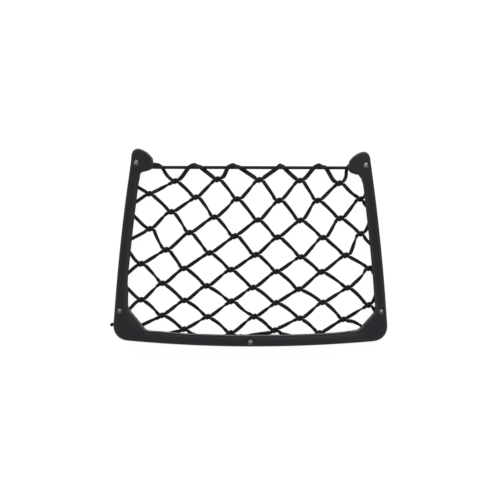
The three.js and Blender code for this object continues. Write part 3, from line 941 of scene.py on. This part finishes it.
def inner_strand(surface, upper, lower, side, bows):
    """From a knot to one in the row below it. side is 1 for a strand that runs down to the right."""
    start, end = upper.leg(side, -1), lower.leg(-side, 1)
    chord = end - start
    rise, fall = near_to(bows, BOW_CHANGE, side)
    leave = Matrix.Rotation(rise, 3, "Z") @ chord / 3
    arrive = Matrix.Rotation(-fall, 3, "Z") @ chord / 3
    line = bezier(start, leave, arrive, end, STRAND_STEPS)
    hump = chance.uniform(-HUMP, HUMP)
    twist_from, twist_to = near_to(STRAND_TWISTS[side], TWIST_CHANGE, side)
    faces = []
    for k, (p, tangent) in enumerate(zip(line, tangents_of(line))):
        t = k / STRAND_STEPS
        p.z += hump * math.sin(math.pi * t)
        near_knot = min(1, 5 * min(t, 1 - t))
        twist = lerp(twist_from, twist_to, clamped(2 * t - 0.35))
        faces.append(Matrix.Rotation(twist * near_knot, 3, tangent) @ FRONT)
    points = [upper.leg_root(side, -1), *line, lower.leg_root(-side, 1)]
    strand(surface, points, [FRONT, *faces, FRONT], STRAND_STEP)


def strand(surface, points, faces_to, step, width=1.0):
    """A flat strand that is drawn in at its two ends, where it goes into the knots."""
    line = smooth(points, step)
    wides = [STRAND_IN_KNOT, *[STRAND_WIDE * width] * (len(points) - 2), STRAND_IN_KNOT]
    halves = [(wide, STRAND_THICK) for wide in spread(wides, line, points)]
    sweep(surface, line, spread(faces_to, line, points), halves)


def turn_round(at, heading, outward, reach, bulge=0.15, tilt=0):
    """A strand's turn round the cord, from in front of it to behind it, as points and faces. The tilt, in
    degrees, brings its flat side forward at the outside of the turn."""
    way = []
    centre = Vector((*at, CORD_Z))
    for degrees in LOOP_DEGREES:
        turn = math.radians(degrees)
        place = outward * math.cos(turn) + FRONT * math.sin(turn)
        turn += math.radians(tilt * math.cos(turn))
        face = outward * math.cos(turn) + FRONT * math.sin(turn)
        radius = WRAP + bulge * math.cos(turn)
        way.append((centre + place * radius - heading * (reach * degrees / 90), face))
    return way


def joined_by_loop(surface, first, way, last, width=LOOP_WIDTH):
    """From a leg of one knot, over the cord by the given way, to a leg of another. Each leg is given as its
    knot, its side and whether it is up or down."""
    knot_a, *leg_a = first
    knot_b, *leg_b = last
    points = [knot_a.leg_root(*leg_a), knot_a.leg(*leg_a), knot_a.past_leg(*leg_a), *[p for p, _ in way]]
    points += [knot_b.past_leg(*leg_b), knot_b.leg(*leg_b), knot_b.leg_root(*leg_b)]
    faces = [*[FRONT] * 3, *[face for _, face in way], *[-FRONT] * 3]
    strand(surface, points, faces, LOOP_STEP, width)


def top_loops(surface, row):
    for k, loop in enumerate(TOP_LOOPS):
        at, rightward, upward = (loop["x"], CORD_TOP_Y), Vector((1, 0, 0)), Vector((0, 1, 0))
        way = turn_round(at, rightward, upward, loop["reach"], loop["bulge"], TOP_TILT)
        joined_by_loop(surface, (row[k], 1, 1), way, (row[k + 1], -1, 1), TOP_WIDTH)


def bottom_loops(surface, row):
    for k, x in enumerate(BOTTOM_LOOPS):
        way = turn_round((x, CORD_BOTTOM_Y), Vector((-1, 0, 0)), Vector((0, -1, 0)), SIDE_REACH)
        joined_by_loop(surface, (row[k + 1], -1, -1), way, (row[k], 1, -1))


def side_turn(side, y):
    slope = cord_x(y + 1) - cord_x(y)
    down = Vector((-side * slope, -1, 0)).normalized()
    outward = Vector((side, -slope, 0)).normalized()
    return turn_round((side * cord_x(y), y), down, outward, SIDE_REACH)


def side_loops(surface, rows, side):
    edge = 0 if side < 0 else -1
    turns_down = [side_turn(side, heights[edge]) for heights in SIDE_LOOPS]
    corner = (side * CORNER_LOOP[0], CORNER_LOOP[1])
    turns_down.append(turn_round(corner, Vector((0, -1, 0)), Vector((side, 0, 0)), CORNER_REACH))
    for k, way in enumerate(turns_down):
        upper, lower = rows[2 * k + 1][edge], rows[2 * k + 3][edge]
        joined_by_loop(surface, (upper, side, -1), way, (lower, side, 1))


def ear_strand(surface, rows, side, leg, crosses, lower_loop):
    """Comes up behind the top cord, goes over it into an ear, and comes out of the side bar lower down."""
    edge = 0 if side < 0 else -1
    way = []
    for along_ear, y, z in EAR_WAY:
        place = Vector((side * lerp(crosses, EAR_MIDDLE, along_ear), CORD_TOP_Y + y, CORD_Z + z))
        way.append((place, FRONT))
    way += side_turn(side, lower_loop)
    start, end = rows[0][edge], rows[1][edge]
    bend = Vector((side * leg[0], leg[1], CORD_Z + BEHIND_CORD))
    points = [start.leg_root(side, 1), start.leg(side, 1), bend, *[p for p, _ in way]]
    points += [end.leg(side, 1), end.leg_root(side, 1)]
    faces = [*[FRONT] * 3, *[face for _, face in way], *[-FRONT] * 2]
    strand(surface, points, faces, LOOP_STEP, LOOP_WIDTH)


def make_net(material):
    rows = [[Knot(p) for p in row] for row in knot_places()]
    surface = Surface()
    for row in rows:
        for knot in row:
            knot.cover(surface)
    for number, (upper, lower) in enumerate(zip(rows, rows[1:])):
        step = 0 if len(upper) < len(lower) else -1
        for k, knot in enumerate(upper):
            for side, place in ((-1, k + step), (1, k + step + 1)):
                if 0 <= place < len(lower):
                    inner_strand(surface, knot, lower[place], side, strand_bows(number, k, side))
    top_loops(surface, rows[0])
    bottom_loops(surface, rows[-1])
    for side in (-1, 1):
        side_loops(surface, rows, side)
    for ear in EAR_STRANDS:
        ear_strand(surface, rows, **ear)
    for p in surface.points:
        p.z = max(p.z, NET_LOWEST)
    piece = mesh_object("elastic_net", surface, material, sharp=70)
    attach(piece, "root")
    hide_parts("net")


# ---- materials ----

# A value of the material's mottling and the colour there, at the two ends
PLASTIC_COLOURS = [(0.3, (0.0224, 0.0213, 0.0272)), (0.7, (0.0258, 0.0247, 0.0312))]
STEEL_COLOURS = [(0.3, (0.72, 0.73, 0.75)), (0.7, (0.92, 0.93, 0.94))]
# The width of a yarn in millimetres, how steeply it goes round, and the colour's lightness at a yarn's top,
# where a highlight is painted; the grooves between yarns are painted darker as shade
ROUND_BRAID = {"yarn": 1.13, "slant": 0.8, "crest_lightness": 0.036}
FLAT_BRAID = {"yarn": 1.0, "slant": 0.75, "crest_lightness": 0.029}
FLOOR_GREY = 0.21
FLOOR_GLOW = 0.93


class Shader:
    """A material's nodes, with short ways to add and join them."""

    def __init__(self, name):
        self.material = bpy.data.materials.new(name)
        self.material.use_nodes = True
        self.tree = self.material.node_tree
        self.surface = self.tree.nodes["Principled BSDF"]

    def node(self, kind, **settings):
        node = self.tree.nodes.new(kind)
        for key, value in settings.items():
            setattr(node, key, value)
        return node

    def join(self, source, target):
        self.tree.links.new(source, target)

    def math(self, operation, a, b=0.0):
        node = self.node("ShaderNodeMath", operation=operation)
        for socket, value in zip(node.inputs, (a, b)):
            if isinstance(value, (int, float)):
                socket.default_value = value
            else:
                self.join(value, socket)
        return node.outputs[0]

    def set(self, **values):
        """Sets inputs of the surface, named with _ for each space."""
        for name, value in values.items():
            self.surface.inputs[name.replace("_", " ")].default_value = value

    def noise(self, scale, detail=2.0, roughness=0.5):
        place = self.node("ShaderNodeTexCoord").outputs["Object"]
        noise = self.node("ShaderNodeTexNoise")
        noise.inputs["Scale"].default_value = scale
        noise.inputs["Detail"].default_value = detail
        noise.inputs["Roughness"].default_value = roughness
        self.join(place, noise.inputs["Vector"])
        return noise.outputs["Fac"]

    def ramp(self, value, stops):
        ramp = self.node("ShaderNodeValToRGB")
        ramp.color_ramp.elements[0].position = stops[0][0]
        ramp.color_ramp.elements[0].color = (*stops[0][1], 1)
        ramp.color_ramp.elements[1].position = stops[-1][0]
        ramp.color_ramp.elements[1].color = (*stops[-1][1], 1)
        for position, colour in stops[1:-1]:
            ramp.color_ramp.elements.new(position).color = (*colour, 1)
        self.join(value, ramp.inputs["Fac"])
        return ramp.outputs["Color"]

    def bump(self, height, distance, strength):
        """Fine relief, whose full height is the distance, in metres."""
        bump = self.node("ShaderNodeBump")
        bump.inputs["Distance"].default_value = distance
        bump.inputs["Strength"].default_value = strength
        self.join(height, bump.inputs["Height"])
        self.join(bump.outputs["Normal"], self.surface.inputs["Normal"])

    def range(self, value, low, high):
        node = self.node("ShaderNodeMapRange")
        node.inputs["To Min"].default_value = low
        node.inputs["To Max"].default_value = high
        self.join(value, node.inputs["Value"])
        return node.outputs["Result"]


def moulded_plastic():
    """Charcoal polypropylene with a fine eroded texture."""
    shader = Shader("moulded_plastic")
    grain = shader.noise(scale=2600, detail=3, roughness=0.6)
    cloud = shader.noise(scale=22, detail=3)
    shader.join(shader.ramp(cloud, PLASTIC_COLOURS), shader.surface.inputs["Base Color"])
    rough = shader.math("ADD", shader.range(grain, 0.3, 0.42), shader.range(cloud, -0.04, 0.04))
    shader.join(rough, shader.surface.inputs["Roughness"])
    shader.set(Specular_IOR_Level=0.6)
    shader.bump(grain, distance=0.00006, strength=0.5)
    return shader.material


def braided_elastic(name, yarn, slant, crest_lightness):
    """Black braided elastic: two sets of yarns slant round it and cross, with a little loose fibre. Its
    colour is painted lighter on the yarns' crests and darker in the grooves between them, as highlight and
    shade, with a tone that differs at random.
    """
    shader = Shader(name)
    spot = shader.node("ShaderNodeSeparateXYZ")
    shader.join(shader.node("ShaderNodeUVMap", uv_map="along").outputs["UV"], spot.inputs[0])
    across, length = spot.outputs[0], spot.outputs[1]
    turn = 2 * math.pi / yarn
    climb = shader.math("MULTIPLY", length, turn * slant)
    round_it = shader.math("MULTIPLY", across, turn)
    one = shader.math("COSINE", shader.math("ADD", round_it, climb))
    other = shader.math("COSINE", shader.math("SUBTRACT", round_it, climb))
    yarns = shader.math("MULTIPLY", shader.math("ADD", shader.math("ADD", one, other), 2.0), 0.25)
    fibre = shader.noise(scale=5200, roughness=0.7)
    height = shader.math("ADD", yarns, shader.math("MULTIPLY", fibre, 0.5))
    # The colour: a painted highlight on the yarns' crests and painted shade in the grooves between them,
    # plus a random tone
    painted_shade_and_tone = shader.math("ADD", yarns, shader.math("MULTIPLY", shader.noise(scale=300), 0.4))
    deep, bright = [(f * crest_lightness, f * crest_lightness, f * crest_lightness * 1.05) for f in (0.35, 1)]
    shader.join(shader.ramp(painted_shade_and_tone, [(0.1, deep), (1.0, bright)]), shader.surface.inputs["Base Color"])
    shader.join(shader.range(fibre, 0.62, 0.86), shader.surface.inputs["Roughness"])
    shader.set(Sheen_Weight=0.03, Sheen_Roughness=0.45, Specular_IOR_Level=0.12)
    shader.bump(height, distance=0.00018, strength=0.8)
    return shader.material


def plated_steel():
    """Bright zinc plating, with the faint marks of the driver and of the heading die."""
    shader = Shader("plated_steel")
    marks = shader.noise(scale=1400, detail=4, roughness=0.7)
    shader.join(shader.ramp(marks, STEEL_COLOURS), shader.surface.inputs["Base Color"])
    shader.set(Metallic=1)
    shader.join(shader.range(marks, 0.26, 0.42), shader.surface.inputs["Roughness"])
    shader.bump(marks, distance=0.00003, strength=0.4)
    return shader.material


def pale_floor():
    """A translucent white table with a light under it, which all but hides the shadows."""
    shader = Shader("pale_floor")
    shader.set(Base_Color=(FLOOR_GREY, FLOOR_GREY, FLOOR_GREY, 1), Roughness=0.9)
    shader.set(Emission_Color=(1, 1, 1, 1), Emission_Strength=FLOOR_GLOW)
    return shader.material


# ---- stage, light and camera ----

# Places and sizes of the camera's view and of the lights are in metres
VIEW_DISTANCE = 1.35
VIEW_WIDTH = 0.701  # what the square frame takes in, at the pocket
VIEW_CENTRE = Vector((-0.0008, -0.0033))
VIEW_ROLL = 0.15  # degrees
SENSOR_WIDTH = 36  # millimetres
FLOOR_HALF = 6000  # millimetres, like other meshes here
SKY_STRENGTH = 0.12
LIGHT_DISTANCE = 1.3
SOFTBOXES = [
    {"azimuth": 86, "elevation": 22, "power": 26, "wide": 3.6, "high": 0.5},
    {"azimuth": 195, "elevation": 42, "power": 1.6, "wide": 0.9, "high": 0.9},
    {"azimuth": 340, "elevation": 45, "power": 1.6, "wide": 0.9, "high": 0.9},
    {"azimuth": 270, "elevation": 45, "power": 1.0, "wide": 0.9, "high": 0.9},
    {"azimuth": 60, "elevation": 60, "power": 0.5, "wide": 0.3, "high": 0.3},
]


def make_floor():
    surface = Surface()
    corners = [(-1, -1), (1, -1), (1, 1), (-1, 1)]
    surface.add([Vector((x * FLOOR_HALF, y * FLOOR_HALF, 0)) for x, y in corners], [(0, 1, 2, 3)])
    floor = mesh_object("floor", surface, pale_floor())


def make_lights():
    world = bpy.data.worlds.new("studio")
    bpy.context.scene.world = world
    world.use_nodes = True
    sky = world.node_tree.nodes["Background"].inputs
    sky["Color"].default_value = (1, 1, 1, 1)
    sky["Strength"].default_value = SKY_STRENGTH
    for k, box in enumerate(SOFTBOXES):
        light = bpy.data.lights.new(f"softbox_{k}", "AREA")
        light.shape = "RECTANGLE"
        light.energy, light.size, light.size_y = box["power"], box["wide"], box["high"]
        lamp = bpy.data.objects.new(light.name, light)
        azimuth, elevation = math.radians(box["azimuth"]), math.radians(box["elevation"])
        level = LIGHT_DISTANCE * math.cos(elevation)
        height = LIGHT_DISTANCE * math.sin(elevation)
        lamp.location = (level * math.cos(azimuth), level * math.sin(azimuth), height)
        lamp.rotation_mode = "QUATERNION"
        lamp.rotation_quaternion = Vector(lamp.location).to_track_quat("Z", "Y")
        lamp.visible_camera = False
        bpy.context.scene.collection.objects.link(lamp)


def make_camera():
    data = bpy.data.cameras.new("camera")
    data.sensor_width = SENSOR_WIDTH
    data.lens = SENSOR_WIDTH / 2 / (VIEW_WIDTH / 2 / VIEW_DISTANCE)
    camera = bpy.data.objects.new("camera", data)
    camera.location = (*VIEW_CENTRE, VIEW_DISTANCE + DEPTH * MM)
    camera.rotation_euler.z = math.radians(VIEW_ROLL)
    bpy.context.scene.collection.objects.link(camera)
    bpy.context.scene.camera = camera


make_camera()
make_frame(moulded_plastic())
steel = plated_steel()
for screw in SCREWS:
    make_screw(**screw, material=steel)
make_cord(braided_elastic("round_braid", **ROUND_BRAID))
make_net(braided_elastic("flat_braid", **FLAT_BRAID))
make_floor()
make_lights()
bpy.context.scene.view_settings.view_transform = "Standard"
